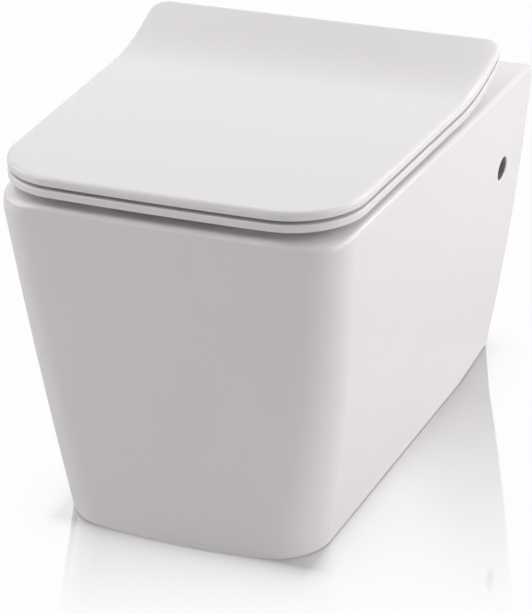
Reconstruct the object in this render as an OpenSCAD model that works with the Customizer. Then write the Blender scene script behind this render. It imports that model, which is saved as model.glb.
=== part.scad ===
// Wall hung toilet with a slim seat and lid. The origin lies on the wall plane,
// midway between the two wall studs. +X is to the right of someone who faces
// the wall, +Y points into the wall and +Z points up.

/* [Pan outside] */
// Height of the ceramic body
pan_height = 340; // [320:1:370]
// Wall to the front of the rim, on the centre line
pan_length = 503; // [490:1:545]
// Wall to the front of the foot, on the centre line
foot_length = 482; // [465:1:505]
// Width of the rim at the wall
wall_width = 384; // [370:1:410]
// Width of the rim where its sides meet the front corners
front_width = 338; // [326:1:360]
// Width of the foot at the wall
foot_wall_width = 296; // [284:1:318]
// Width of the foot where its sides meet the front corners
foot_front_width = 261; // [250:1:285]
// How far the rim bows out in front between its corners
rim_bow = 4; // [2:0.5:10]
// How far the foot bows out in front between its corners
foot_bow = 16; // [8:0.5:20]
// Radius of the front corners below the rim
corner_r = 38; // [32:1:46]
// Radius of the front corners at the rim's top edge
rim_corner_r = 67; // [48:1:72]
// Radius of the front corners at the foot
foot_corner_r = 43; // [34:1:50]
// How far the sides swell at mid height
side_bulge = 5; // [0:1:9]
// How far the front draws in at mid height
front_hollow = 4; // [0:1:8]
// Rounding of the rim's outer edge
rim_round = 6; // [3:0.5:9]
// Rounding of the foot's outer edge
foot_round = 3.5; // [3:0.5:8]
// How far the underside climbs at the wall
foot_rise = 12; // [6:1:16]
// Length of the climbing part of the underside
foot_rise_length = 76; // [60:2:110]

/* [Ceramic walls] */
// Thickness of the outer shell
shell_wall = 11; // [9:0.5:13]
// Depth of the rim slab
rim_depth = 22; // [20:1:26]
// Thickness of the underside
floor_wall = 10; // [8:0.5:14]
// Thickness of the bowl and trapway
bowl_wall = 9; // [7:0.5:11]
// Thickness of the back frame
frame_wall = 16; // [12:1:20]

/* [Bowl] */
// Rim front to the bowl opening
rim_front = 48; // [42:1:60]
// Wall to the back of the bowl opening
deck_length = 170; // [164:1:185]
// Width of the bowl opening
bowl_width = 224; // [200:1:232]
// Inner radius of the trap passage
trap_r = 28; // [25:0.5:30]

/* [Wall connections] */
// Rim top above the wall studs
rim_above_studs = 93; // [88:1:98]
// Distance between the wall studs
stud_spacing = 180; // [178:1:230]
// Outlet centre below the wall studs
outlet_drop = 100; // [95:1:105]
// Flush inlet centre above the wall studs
inlet_rise = 35; // [33:1:37]
// Radius of the flush inlet socket
inlet_r = 27.5; // [25:0.5:29]
// Radius of the flush pipe that the inlet seal takes
flush_pipe_r = 22.5; // [20:0.5:23]
// Outer radius of the outlet spigot
spigot_r = 51; // [48:0.5:53]
// How far the spigot ends short of the wall plane
spigot_recess = 25; // [15:1:35]
// Radius of a wall stud
stud_r = 6; // [5:0.5:6]
// Radius of the tool holes in the sides
side_hole_r = 12; // [10:0.5:14]
// Wall to the centre of the tool holes
side_hole_inset = 59; // [52:1:66]

/* [Lid and seat] */
// Height of the lid's top above the rim
lid_top = 29; // [28.5:0.5:33]
// Thickness of the lid
lid_thick = 8.5; // [7.5:0.5:9]
// Gap between lid and seat
lid_gap = 3.5; // [3.5:0.5:5]
// Thickness of the seat ring
seat_thick = 7.5; // [6.5:0.5:8]
// How far lid and seat stand out past the sides of the rim
side_overhang = 0.5; // [0:0.25:1.5]
// How far lid and seat stand out past the front of the rim
front_overhang = 1.5; // [0:0.5:3]
// Wall to the rear edge of lid and seat
rear_gap = 87; // [85:1:92]
// Wall to where the lid starts to sweep up
sweep_start = 205; // [195:1:230]
// Radius of the sweep
sweep_r = 236; // [200:1:260]
// Steepest angle of the sweep
sweep_angle = 18.8; // [14:0.2:21]
// Radius of the front corners of lid and seat
lid_corner_r = 67; // [56:1:75]
// Radius of the rear corners of lid and seat
lid_rear_r = 16; // [10:1:20]
// Width of the opening in the seat
seat_hole_width = 216; // [200:1:222]
// Length of the opening in the seat
seat_hole_length = 268; // [250:1:274]

/* [Hinges] */
// Distance between the hinge posts
hinge_spacing = 155; // [150:1:165]
// Wall to the hinge axis
hinge_inset = 57; // [55:0.5:59]
// Height of the hinge axis above the rim
hinge_height = 24; // [23:0.5:25]
// Radius of a hinge post
post_r = 6; // [5:0.25:6.25]
// Width of a hinge block
block_width = 32; // [31:0.5:34]
// Radius of the rounded top of a hinge block
block_r = 12.5; // [12:0.25:13]
// Length of a hinge knuckle
knuckle_length = 32; // [26:1:36]
// Outer radius of a hinge knuckle
knuckle_r = 11; // [10:0.25:11.5]
// Radius of the dampers and bushes
damper_r = 7; // [6:0.25:7.5]
// Radius of the hinge pins and damper shafts
pin_r = 3; // [2.5:0.25:3.5]
// Travel of a release button
button_travel = 2.5; // [2:0.25:3]
// Radius of the holes in the deck
deck_hole_r = 7.5; // [7:0.25:8]

/* [Hidden] */

// Clearances
seam = 0.2;
seat_clear = 0.3;
run_clear = 0.05;
side_clear = 0.6;
over = 1;
far = 400;

// Levels
rim_z = rim_above_studs;
foot_z = rim_z - pan_height;
slab_z = rim_z - rim_depth;
floor_z = foot_z + floor_wall;
outlet_z = -outlet_drop;

// Outline of the pan
corner_steps = 8;
front_steps = 6;
function mix(a, b, t) = a + (b - a) * t;
function height_share(z) = (z - foot_z) / pan_height;
function hump(t) = 4 * t * (1 - t);
function wall_half(z) =
  mix(foot_wall_width, wall_width, height_share(z)) / 2 + side_bulge * hump(height_share(z));
function front_half(z) =
  mix(foot_front_width, front_width, height_share(z)) / 2 + side_bulge * hump(height_share(z));
function length_at(z) =
  mix(foot_length, pan_length, height_share(z)) - front_hollow * hump(height_share(z));
// The front corners soften over the rim's depth, as a quarter of an ellipse
corner_fade = rim_depth - 2;
function corner_soft(z) =
  let (u = max(0, 1 - (rim_z - z) / corner_fade))
  1 - sqrt(max(0, 1 - pow(u, 2)));
function corner_at(z) =
  mix(foot_corner_r, corner_r, height_share(z)) + (rim_corner_r - corner_r) * corner_soft(z);
function bow_at(z) = mix(foot_bow, rim_bow, height_share(z));

// Half width of a plan at y, for half widths aw at the wall and af in front
function half_at(aw, af, yf, y) = mix(aw, af, y / yf);
// Right half of a plan from its rear to its centre line in front: straight
// sides, round corners of radius r and a front that bows out by bow
function half_plan(aw, af, len, r, bow, rear) =
  let (
    yf = -(len - bow),
    y_turn = yf + r,
    xe = half_at(aw, af, yf, y_turn),
    xc = xe - r
  )
  concat(
    [[half_at(aw, af, yf, rear), rear], [xe, y_turn]],
    [for (i = [1:corner_steps])
      let (
        a = 90 * i / corner_steps,
        x = xc + r * cos(a),
        drop = r * sin(a)
      )
      [x, y_turn - drop - bow * (1 - pow(x / xe, 2)) * drop / r]],
    [for (i = [1:front_steps - 1])
      let (x = xc * (1 - i / front_steps)) [x, yf - bow * (1 - pow(x / xe, 2))]],
    [[0, yf - bow]]
  );
function mirrored(half) =
  concat(half, [for (i = [len(half) - 2:-1:0]) [-half[i][0], half[i][1]]]);
// Plan of the pan at height z, drawn in by e
function pan_plan(z, e, rear) =
  mirrored(half_plan(wall_half(z) - e, front_half(z) - e, length_at(z) - e,
    corner_at(z) - e / 2, bow_at(z), rear));

// Solid through rings of points, each clockwise when seen from the last ring
module loft(rows) {
  n = len(rows[0]);
  m = len(rows);
  points = [for (row = rows) each row];
  polyhedron(
    points = points,
    faces = concat(
      [[for (i = [n - 1:-1:0]) i]],
      [for (j = [0:m - 2]) for (i = [0:n - 1])
        let (k = (i + 1) % n)
        each [
          [j * n + i, (j + 1) * n + k, (j + 1) * n + i],
          [j * n + i, j * n + k, (j + 1) * n + k]
        ]],
      [[for (i = [0:n - 1]) (m - 1) * n + i]]
    )
  );
}
function lifted(plan, z) = [for (p = plan) [p[0], p[1], z]];
// Levels from a to b in equal steps
function levels(a, b, steps) = [for (i = [0:steps]) mix(a, b, i / steps)];
// The pan's outside, with its foot edge rounded, up to height top
function outside_rows(top) =
  concat(
    [for (a = [90:-30:0])
      let (z = foot_z + foot_round * (1 - cos(90 - a)), e = foot_round * (1 - cos(a)))
      lifted(pan_plan(z, e, 0), z)],
    [for (z = levels(foot_z + 2 * foot_round, top, 7)) lifted(pan_plan(z, 0, 0), z)]
  );
// What lies below the underside, or below a level base parallel to it, near
// the wall, where the underside climbs
foot_slope = foot_rise / foot_rise_length;
module below_climb(base) {
  side_extrude(-far, far, [
    [2 * over, base - over],
    [2 * over, base + foot_rise + 2 * over * foot_slope],
    [-foot_rise_length - over / foot_slope, base - over]
  ]);
}
// The room inside the shell, drawn in by e and open at the rear
module inside_room(e, low, high, rear) {
  loft([for (z = levels(low, high, 6)) lifted(pan_plan(z, e, rear), z)]);
}

// Bowl, as a stack of superellipses: depth share, half width, half length, centre
bowl_segments = 40;
bowl_half = bowl_width / 2;
bowl_mid = (pan_length - rim_front + deck_length) / 2;
bowl_reach = (pan_length - rim_front - deck_length) / 2;
sump_inset = 76;
sump_mid = deck_length + sump_inset;
sump_half = trap_r + 8;
sump_bottom = floor_z + bowl_wall;
function ease(t) = (1 - cos(180 * t)) / 2;
function bowl_share(t) = ease(pow(t, 0.85));
function bowl_a(t) = mix(bowl_half, sump_half, bowl_share(t));
function bowl_b(t) = mix(bowl_reach, sump_half + 4, bowl_share(t));
function bowl_c(t) = mix(bowl_mid, sump_mid, bowl_share(t));
function power(v, n) = sign(v) * pow(abs(v), n);
function bowl_ring(t, e) =
  let (n = mix(0.8, 1, t))
  [for (i = [0:bowl_segments - 1])
    let (a = 360 * i / bowl_segments)
    [(bowl_a(t) + e) * power(cos(a), n), -bowl_c(t) - (bowl_b(t) + e) * power(sin(a), n)]];
sump_round = 12;
module bowl_solid(e, bottom) {
  side = [for (t = levels(0, 1, 9)) lifted(bowl_ring(t, e), mix(slab_z, bottom + sump_round, t))];
  foot = [for (a = [30:30:90])
    lifted(bowl_ring(1, e - sump_round * (1 - cos(a))), bottom + sump_round * (1 - sin(a)))];
  rows = concat(side, foot);
  loft([for (i = [len(rows) - 1:-1:0]) rows[i]]);
}
module bowl_cut() {
  bowl_solid(0, sump_bottom);
  translate([0, 0, slab_z - over / 2])
    linear_extrude(over)
      polygon(bowl_ring(0, -0.01));
}

// Trap: centre line from the sump, up over the weir and along to the spigot
spigot_bore_r = spigot_r - bowl_wall;
spigot_length = 46;
spigot_start = spigot_recess + spigot_length;
spigot_step = 12;
trap_low_z = sump_bottom + trap_r + 3;
trap_top_z = outlet_z + 7;
trap_tilt = 56;
low_bend = 48;
top_bend = 53;
bend_steps = 5;
sump_rear = sump_mid - sump_half - 4;
trap_slope = (trap_top_z - trap_low_z - (low_bend + top_bend) * (1 - cos(trap_tilt))) / sin(trap_tilt);
bend_start = sump_rear - bowl_wall + 2;
top_start = bend_start - low_bend * sin(trap_tilt) - trap_slope * cos(trap_tilt);
// Each entry: distance from the wall, height, radius and tilt
trap_path = concat(
  [[bend_start + 14, trap_low_z, trap_r, 0]],
  [for (i = [0:bend_steps])
    let (a = trap_tilt * i / bend_steps)
    [bend_start - low_bend * sin(a), trap_low_z + low_bend * (1 - cos(a)), trap_r, a]],
  [for (i = [0:bend_steps])
    let (a = trap_tilt * (1 - i / bend_steps))
    [top_start - top_bend * (sin(trap_tilt) - sin(a)), trap_top_z - top_bend * (1 - cos(a)),
      trap_r + 5 * i / bend_steps, a]],
  [[spigot_start - spigot_step, outlet_z, spigot_bore_r - run_clear, 0]]
);
trap_segments = 24;
function trap_ring(p, e) =
  [for (i = [0:trap_segments - 1])
    let (
      a = 360 * i / trap_segments,
      r = p[2] + e,
      up = r * sin(a)
    )
    [r * cos(a), -p[0] - up * sin(p[3]), p[1] + up * cos(p[3])]];
module trap_solid(e) {
  loft([for (p = trap_path) trap_ring(p, e)]);
}

// A rod along X from x0 to x1
module rod_x(r, x0, x1, y, z) {
  translate([x0, y, z])
    rotate([0, 90, 0])
      cylinder(r = r, h = x1 - x0, $fn = 48);
}
// A rod along Y that starts at y0 and ends at y1, nearer the wall
module rod_y(r, y0, y1, x, z) {
  translate([x, y1, z])
    rotate([90, 0, 0])
      cylinder(r = r, h = y1 - y0, $fn = 64);
}
module rod_z(r, z0, z1, x, y) {
  translate([x, y, z0])
    cylinder(r = r, h = z1 - z0, $fn = 48);
}
module block(x0, x1, y0, y1, z0, z1) {
  translate([x0, y0, z0])
    cube([x1 - x0, y1 - y0, z1 - z0]);
}
// An outline in the plane of Y and Z, extruded along X
module side_extrude(x0, x1, outline) {
  translate([x0, 0, 0])
    rotate([90, 0, 90])
      linear_extrude(x1 - x0)
        polygon(outline);
}
module both_sides() {
  children();
  mirror([1, 0, 0])
    children();
}

// Ceramic
ceramic = [0.93, 0.93, 0.92];
side_hole_y = -side_hole_inset;
module pan_shell() {
  color(ceramic)
    difference() {
      loft(outside_rows(slab_z));
      difference() {
        inside_room(shell_wall, floor_z, slab_z + over, over);
        below_climb(floor_z);
      }
      below_climb(foot_z);
      both_sides()
        rod_x(side_hole_r, wall_half(0) - 3 * shell_wall, wall_half(0) + shell_wall, side_hole_y, 0);
    }
}

hinge_x = hinge_spacing / 2;
hinge_y = -hinge_inset;
hinge_z = rim_z + hinge_height;
module rim_deck() {
  side = [for (z = levels(slab_z, rim_z - rim_round, 4)) if (z < rim_z - rim_round - 1)
    lifted(pan_plan(z, 0, 0), z)];
  edge = [for (a = [0:22.5:90])
    let (z = rim_z - rim_round * (1 - sin(a)), e = rim_round * (1 - cos(a)))
    lifted(pan_plan(z, e, 0), z)];
  color(ceramic)
    difference() {
      loft(concat(side, edge));
      translate([0, 0, slab_z - over])
        linear_extrude(rim_depth + 2 * over)
          polygon(bowl_ring(0, 0));
      both_sides()
        rod_z(deck_hole_r, slab_z - over, rim_z + over, hinge_x, hinge_y);
    }
}

// The water channel opens into the bowl through a slot below the rim slab
slot_half = 30;
slot_high = slab_z - 5;
slot_low = slot_high - 18;
// The sump is the bowl's lower end, down from this level
sump_top = outlet_z - 14;
module bowl() {
  color(ceramic)
    difference() {
      bowl_solid(bowl_wall, floor_z);
      bowl_cut();
      block(-slot_half, slot_half, -deck_length - bowl_wall, -deck_length + 2 * bowl_wall,
        slot_low, slot_high);
      block(-far, far, -2 * far, 0, floor_z - over, sump_top);
    }
}
module sump() {
  color(ceramic)
    difference() {
      bowl_solid(bowl_wall, floor_z);
      bowl_cut();
      rod_y(trap_r, -sump_mid, -deck_length, 0, trap_low_z);
      block(-far, far, -2 * far, 0, sump_top, rim_z);
    }
}

module trapway() {
  color(ceramic)
    difference() {
      union() {
        trap_solid(bowl_wall);
        rod_y(spigot_r, -spigot_start, -spigot_recess, 0, outlet_z);
      }
      trap_solid(0);
      rod_y(spigot_bore_r, -spigot_start + spigot_step - run_clear, -spigot_recess + over, 0, outlet_z);
      bowl_solid(bowl_wall + seam, floor_z - over);
    }
}

// Water enters through a socket in the back frame and a duct that ends at the slot
socket_r = inlet_r + bowl_wall - 1;
socket_end = 3;
socket_length = 48;
socket_start = socket_end + socket_length;
duct_half = socket_r + 4;
duct_wall = 8;
inlet_z = inlet_rise;
duct_low = inlet_z - socket_r;
duct_turn = socket_start + 30;
duct_front = deck_length + 2 * bowl_wall;
module inlet_socket() {
  color(ceramic)
    difference() {
      union() {
        rod_y(socket_r, -socket_start, -socket_end, 0, inlet_z);
        block(-socket_r, socket_r, -socket_start, -socket_end, inlet_z, slab_z);
      }
      rod_y(inlet_r, -socket_start - over, over, 0, inlet_z);
    }
}
module flush_duct() {
  color(ceramic)
    difference() {
      side_extrude(-duct_half, duct_half, [
        [-socket_start, slab_z],
        [-socket_start, duct_low],
        [-duct_turn, duct_low],
        [-duct_front, slot_low - duct_wall],
        [-duct_front, slab_z]
      ]);
      side_extrude(-slot_half, slot_half, [
        [-socket_start + over, slot_high],
        [-socket_start + over, duct_low + duct_wall],
        [-duct_turn, duct_low + duct_wall],
        [-duct_front - over, slot_low],
        [-duct_front - over, slot_high]
      ]);
      bowl_solid(bowl_wall + seam, floor_z);
      translate([0, 0, slab_z - over])
        linear_extrude(2 * over)
          polygon(bowl_ring(0, bowl_wall + seam));
    }
}

// Back frame, inside the shell and flush with the wall plane
stud_x = stud_spacing / 2;
sleeve_r = stud_r + 5.8;
outlet_window_r = spigot_r + 11;
module rear_frame() {
  color(ceramic)
    difference() {
      intersection() {
        inside_room(shell_wall + seam, floor_z, slab_z, over);
        block(-far, far, -frame_wall, 0, floor_z, slab_z);
      }
      below_climb(floor_z);
      rod_y(outlet_window_r, -frame_wall - over, over, 0, outlet_z);
      rod_y(socket_r + seam, -frame_wall - over, over, 0, inlet_z);
      block(-socket_r - seam, socket_r + seam, -frame_wall - over, over, inlet_z, slab_z + over);
      both_sides()
        rod_y(sleeve_r + seam, -frame_wall - over, over, stud_x, 0);
    }
}

seal_lip = 2.5;
module inlet_seal() {
  color([0.12, 0.12, 0.13])
    difference() {
      union() {
        rod_y(inlet_r - seam, -socket_start + 4, -socket_end, 0, inlet_z);
        rod_y(inlet_r + 4, -socket_end, -socket_end + seal_lip, 0, inlet_z);
      }
      rod_y(flush_pipe_r + run_clear, -socket_start, over, 0, inlet_z);
    }
}

// Concealed wall fixings
stud_hole_r = stud_r + 0.6;
collar_r = sleeve_r + 4;
collar_y = -frame_wall - 3;
module stud_sleeves() {
  color([0.85, 0.85, 0.83])
    both_sides()
      difference() {
        union() {
          rod_y(sleeve_r, -frame_wall, 0, stud_x, 0);
          rod_y(collar_r, collar_y, -frame_wall, stud_x, 0);
        }
        rod_y(stud_hole_r, -frame_wall - far, far, stud_x, 0);
      }
}

bracket_half = stud_r + 7;
bracket_reach = 14;
bracket_end = side_hole_y - bracket_reach;
clamp_r = 4;
clamp_tip = stud_x + stud_hole_r + seat_clear;
clamp_head_r = 7;
clamp_head = 8;
clamp_room = 14;
clamp_end = wall_half(0) - shell_wall - clamp_room;
module fixing_brackets() {
  color([0.72, 0.73, 0.75])
    both_sides()
      difference() {
        block(stud_x - bracket_half, stud_x + bracket_half, bracket_end, collar_y,
          -bracket_half, bracket_half);
        rod_y(stud_hole_r, bracket_end - over, 0, stud_x, 0);
        rod_x(clamp_r + run_clear, stud_x, stud_x + bracket_half + over, side_hole_y, 0);
      }
}
module clamp_screws() {
  color([0.8, 0.8, 0.82])
    both_sides()
      difference() {
        union() {
          rod_x(clamp_r, clamp_tip, clamp_end, side_hole_y, 0);
          rod_x(clamp_head_r, clamp_end - clamp_head, clamp_end, side_hole_y, 0);
        }
        translate([clamp_end - clamp_head / 2, side_hole_y, 0])
          rotate([0, 90, 0])
            cylinder(r = 3, h = clamp_head, $fn = 6);
      }
}

// Seat mountings in the deck holes
base_r = 21;
base_thick = 3;
cap_high = 8.5;
cap_r = base_r + 3;
seat_stud_r = 3;
seat_stud_top = rim_z + 17;
plug_drop = 12;
plug_low = slab_z - plug_drop;
nut_low = plug_low - 6;
post_rise = 9;
post_top = rim_z + hinge_height + post_rise;
module seat_studs() {
  color([0.8, 0.8, 0.82])
    both_sides()
      rod_z(seat_stud_r, nut_low - 4, seat_stud_top, hinge_x, hinge_y);
}
module expansion_plugs() {
  color([0.15, 0.15, 0.16])
    both_sides()
      translate([hinge_x, hinge_y, 0])
        rotate_extrude($fn = 48)
          polygon([
            [seat_stud_r + run_clear, plug_low],
            [deck_hole_r - 1, plug_low],
            [deck_hole_r + 3, slab_z - 4],
            [deck_hole_r + 3, slab_z],
            [deck_hole_r - seam, slab_z],
            [deck_hole_r - seam, rim_z],
            [seat_stud_r + run_clear, rim_z]
          ]);
}
module plug_nuts() {
  color([0.8, 0.8, 0.82])
    both_sides()
      difference() {
        translate([hinge_x, hinge_y, nut_low])
          cylinder(r = 6, h = plug_low - nut_low, $fn = 6);
        rod_z(seat_stud_r + run_clear, nut_low - over, plug_low + over, hinge_x, hinge_y);
      }
}
module base_plates() {
  color([0.78, 0.79, 0.8])
    both_sides()
      difference() {
        rod_z(base_r, rim_z, rim_z + base_thick, hinge_x, hinge_y);
        rod_z(seat_stud_r + run_clear, rim_z - over, rim_z + base_thick + over, hinge_x, hinge_y);
      }
}
module cover_caps() {
  color([0.83, 0.84, 0.86])
    both_sides()
      translate([hinge_x, hinge_y, rim_z])
        rotate_extrude($fn = 64)
          polygon([
            [base_r + seat_clear, 0],
            [cap_r, 0],
            [cap_r, cap_high - 3],
            [cap_r - 3, cap_high],
            [post_r + 0.5, cap_high],
            [post_r + 0.5, cap_high - 3],
            [base_r + seat_clear, base_thick + seat_clear]
          ]);
}
// Hinge posts, with a groove that the release latch holds
groove_low = rim_z + 12;
groove_high = rim_z + 16;
module hinge_posts() {
  color([0.8, 0.8, 0.82])
    both_sides()
      translate([hinge_x, hinge_y, 0])
        rotate_extrude($fn = 48)
          polygon([
            [0, seat_stud_top + over],
            [seat_stud_r + run_clear, seat_stud_top + over],
            [seat_stud_r + run_clear, rim_z + base_thick],
            [post_r, rim_z + base_thick],
            [post_r, groove_low],
            [post_r - 1, groove_low],
            [post_r - 1, groove_high],
            [post_r, groove_high],
            [post_r, post_top - 1.5],
            [post_r - 1.5, post_top],
            [0, post_top]
          ]);
}

// Hinge blocks, which push down on the posts
block_low = rim_z + cap_high + seat_clear;
block_front = hinge_y - post_r - 15;
block_rear = hinge_y + post_r + 9;
block_half = block_width / 2;
latch_low = groove_low;
latch_high = groove_high - 0.6;
latch_half = post_r + 3.7;
latch_z = (latch_low + latch_high) / 2;
slot_clear = 0.3;
latch_front = hinge_y - post_r - 4.5;
pad_half = 10;
pad_low = rim_z + 10.4;
pad_high = pad_low + 11;
pad_depth = 5.5;
pad_out = button_travel;
spring_r = 1.9;
spring_wire = 0.35;
spring_turns = 5;
spring_room = spring_r + spring_wire + 0.3;
spring_end = block_front + 2.5;
pin_seat = 8;
module hinge_block(side) {
  x = side * hinge_x;
  color([0.9, 0.9, 0.9])
    difference() {
      union() {
        block(x - block_half, x + block_half, block_front, block_rear, block_low, hinge_z);
        rod_x(block_r, x - block_half, x + block_half, hinge_y, hinge_z);
      }
      rod_z(post_r + run_clear, block_low - over, post_top + seat_clear, x, hinge_y);
      // Slot for the latch and pocket for the button
      block(x - latch_half - slot_clear, x + latch_half + slot_clear,
        latch_front - button_travel - slot_clear, block_rear + over,
        latch_low - slot_clear, latch_high + slot_clear);
      block(x - pad_half - slot_clear, x + pad_half + slot_clear,
        block_rear - pad_depth, block_rear + over,
        pad_low - slot_clear, pad_high + slot_clear);
      rod_y(spring_room, spring_end, latch_front, x, latch_z);
      // Sockets for the hinge pins on both ends
      rod_x(pin_r + run_clear, x - block_half - over, x - block_half + pin_seat, hinge_y, hinge_z);
      rod_x(pin_r + run_clear, x + block_half - pin_seat, x + block_half + over, hinge_y, hinge_z);
    }
}
module release_button(side) {
  x = side * hinge_x;
  pad_front = block_rear - pad_depth + button_travel + slot_clear;
  color([0.75, 0.76, 0.78])
    difference() {
      union() {
        block(x - pad_half, x + pad_half, pad_front, block_rear + pad_out, pad_low, pad_high);
        block(x - latch_half, x + latch_half, latch_front, pad_front + over, latch_low, latch_high);
      }
      // Long hole round the post
      rod_z(post_r + slot_clear, latch_low - over, latch_high + over, x, hinge_y);
      rod_z(post_r + slot_clear, latch_low - over, latch_high + over, x, hinge_y + button_travel);
      block(x - post_r - slot_clear, x + post_r + slot_clear,
        hinge_y, hinge_y + button_travel, latch_low - over, latch_high + over);
    }
}
spring_steps = 12;
spring_sides = 6;
spring_start = latch_front - spring_wire - 0.05;
spring_stop = spring_end + spring_wire + 0.05;
module button_spring(side) {
  count = spring_turns * spring_steps;
  rows = [for (i = [0:count])
    let (
      a = 360 * i / spring_steps,
      y = mix(spring_start, spring_stop, i / count)
    )
    [for (k = [0:spring_sides - 1])
      let (
        b = 360 * k / spring_sides,
        r = spring_r + spring_wire * cos(b)
      )
      [side * hinge_x + r * cos(a), y - spring_wire * sin(b), latch_z + r * sin(a)]]];
  color([0.7, 0.7, 0.72])
    loft(rows);
}

// Sides of the hinge knuckles, seen from the middle of the toilet
lid_knuckle_out = hinge_x - block_half - side_clear;
lid_knuckle_in = lid_knuckle_out - knuckle_length;
seat_knuckle_in = hinge_x + block_half + side_clear;
seat_knuckle_out = seat_knuckle_in + knuckle_length;
shaft_depth = knuckle_length - 8;
// A damper or bush that fills a knuckle between x0 and x1
module damper_body(x0, x1) {
  difference() {
    rod_x(damper_r, x0 + 0.5, x1 - 0.5, hinge_y, hinge_z);
    rod_x(pin_r + run_clear, x0 - over, x1 + over, hinge_y, hinge_z);
  }
}
// A pin whose head end sits in a block's socket
module hinge_pin(x0, x1) {
  rod_x(pin_r, x0, x1, hinge_y, hinge_z);
}
module lid_damper() {
  color([0.25, 0.25, 0.27])
    damper_body(-lid_knuckle_out, -lid_knuckle_in);
}
module lid_damper_shaft() {
  color([0.8, 0.8, 0.82])
    hinge_pin(-hinge_x + block_half - pin_seat + seam, -lid_knuckle_out + shaft_depth);
}
module lid_bush() {
  color([0.9, 0.9, 0.88])
    damper_body(lid_knuckle_in, lid_knuckle_out);
}
module lid_pin() {
  color([0.8, 0.8, 0.82])
    hinge_pin(lid_knuckle_out - shaft_depth, hinge_x - block_half + pin_seat - seam);
}
module seat_damper() {
  color([0.25, 0.25, 0.27])
    damper_body(seat_knuckle_in, seat_knuckle_out);
}
module seat_damper_shaft() {
  color([0.8, 0.8, 0.82])
    hinge_pin(hinge_x + block_half - pin_seat + seam, seat_knuckle_in + shaft_depth);
}
module seat_bush() {
  color([0.9, 0.9, 0.88])
    damper_body(-seat_knuckle_out, -seat_knuckle_in);
}
module seat_pin() {
  color([0.8, 0.8, 0.82])
    hinge_pin(-seat_knuckle_in - shaft_depth, -hinge_x - block_half + pin_seat - seam);
}

// Lid and seat share one side profile: flat in front, swept up at the rear
sweep_turn = sweep_start - sweep_r * sin(sweep_angle);
function rise(d) =
  d >= sweep_start ? 0 :
  d >= sweep_turn ? sweep_r - sqrt(pow(sweep_r, 2) - pow(sweep_start - d, 2)) :
  sweep_r * (1 - cos(sweep_angle)) + (sweep_turn - d) * tan(sweep_angle);
sweep_steps = 10;
function sweep_line(front, rear, z) =
  concat(
    [[-front, z + rise(front)], [-sweep_start, z]],
    [for (i = [1:sweep_steps])
      let (d = mix(sweep_start, sweep_turn, i / sweep_steps)) [-d, z + rise(d)]],
    [[-rear, z + rise(rear)]]
  );
// Plate between heights low and high above the rim, before its plan is cut
function plate_profile(front, rear, low, high) =
  let (
    bottom = sweep_line(front, rear, rim_z + low),
    top = sweep_line(front, rear, rim_z + high)
  )
  concat(bottom, [for (i = [len(top) - 1:-1:0]) top[i]]);
// Plan of the lid and seat, with rounded rear corners
lid_wall_half = wall_width / 2 + side_overhang;
lid_front_half = front_width / 2 + side_overhang;
lid_length = pan_length + front_overhang;
function lid_half_width(d) = half_at(lid_wall_half, lid_front_half, -(lid_length - rim_bow), -d);
function lid_plan() =
  let (
    half = half_plan(lid_wall_half, lid_front_half, lid_length, lid_corner_r, rim_bow,
      -rear_gap - lid_rear_r),
    xr = half[0][0]
  )
  mirrored(concat(
    [for (a = [90:-18:18]) [xr - lid_rear_r * (1 - cos(a)), -rear_gap - lid_rear_r * (1 - sin(a))]],
    half
  ));
seat_top = lid_top - lid_thick - lid_gap;
seat_low = seat_top - seat_thick;
lid_low = lid_top - lid_thick;
seat_hole_mid = pan_length - rim_front - seat_hole_length / 2 - 6;
module plate(low, high) {
  intersection() {
    side_extrude(-far, far, plate_profile(pan_length + far, rear_gap, low, high));
    translate([0, 0, rim_z - over])
      linear_extrude(2 * far)
        polygon(lid_plan());
  }
}
seat_segments = 40;
screw_r = 2;
screw_hole_depth = 4;
module seat_ring() {
  color([0.94, 0.94, 0.93])
    difference() {
      plate(seat_low, seat_top);
      translate([0, -seat_hole_mid, rim_z])
        linear_extrude(far)
          polygon([for (i = [0:seat_segments - 1])
            let (a = 360 * i / seat_segments)
            [seat_hole_width / 2 * power(cos(a), 0.8), seat_hole_length / 2 * power(sin(a), 0.8)]]);
      arm_screws(seat_knuckle_in, seat_low, screw_r + run_clear, 0);
    }
}
module lid_panel() {
  color([0.94, 0.94, 0.93])
    difference() {
      plate(lid_low, lid_top);
      arm_screws(lid_knuckle_in, lid_low, screw_r + run_clear, 0);
    }
}

// Arms: a pad under the plate, a neck behind its rear edge and a knuckle
pad_reach = 26;
arm_pad = 2.5;
neck_gap = 1;
neck_angle = 50;
crown_angle = 15;
function arm_outline(low) =
  let (
    y_edge = -rear_gap,
    z_edge = rim_z + low + rise(rear_gap),
    y_pad = -rear_gap - pad_reach,
    z_pad = rim_z + low + rise(rear_gap + pad_reach)
  )
  [
    [y_pad, z_pad],
    [y_pad, z_pad - arm_pad],
    [y_edge + neck_gap, z_edge - arm_pad],
    [hinge_y - knuckle_r * sin(neck_angle), hinge_z - knuckle_r * cos(neck_angle)],
    [hinge_y, hinge_z],
    [hinge_y + knuckle_r * sin(crown_angle), hinge_z + knuckle_r * cos(crown_angle)],
    [y_edge + 5, z_edge + 1],
    [y_edge + neck_gap, z_edge + 1],
    [y_edge + neck_gap, z_edge],
    [y_edge, z_edge]
  ];
module arm(x0, low) {
  x1 = x0 + knuckle_length;
  difference() {
    union() {
      side_extrude(x0, x1, arm_outline(low));
      rod_x(knuckle_r, x0, x1, hinge_y, hinge_z);
    }
    rod_x(damper_r + seam / 2, x0 - over, x1 + over, hinge_y, hinge_z);
    arm_screws(x0, low, screw_r + run_clear, over);
  }
}
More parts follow.
